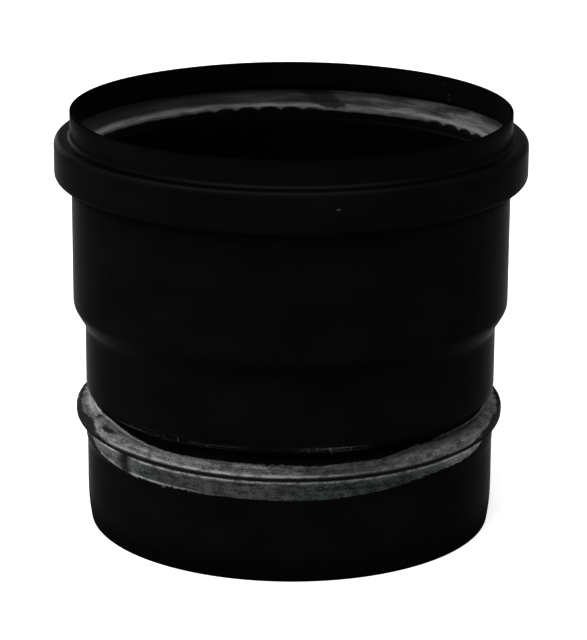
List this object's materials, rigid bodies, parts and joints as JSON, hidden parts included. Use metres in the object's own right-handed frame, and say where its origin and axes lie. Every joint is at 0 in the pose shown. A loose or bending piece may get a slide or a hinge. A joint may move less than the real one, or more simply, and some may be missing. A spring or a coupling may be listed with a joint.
{
  "type": "stove pipe",
  "caption": "Short black single-wall stove pipe: a sealed socket at the top steps down to a neck, a centring bead and a plain spigot.",
  "frame": {"origin": "centre of the spigot's end edge, on the surface that the pipe stands on", "axes": "+Z along the pipe's axis, up to the mouth of the socket; +X and +Y lie across the pipe, which is round"},
  "size_m": [0.0914, 0.0914, 0.082],
  "materials": {
    "black_paint": "matt heat-resistant paint, rubbed to bare steel on the bead",
    "grey_seal": "dusty matt grey"
  },
  "bodies": {
    "root": {"stove_pipe": "black_paint", "socket_seal": "grey_seal"}
  },
  "joints": []
}
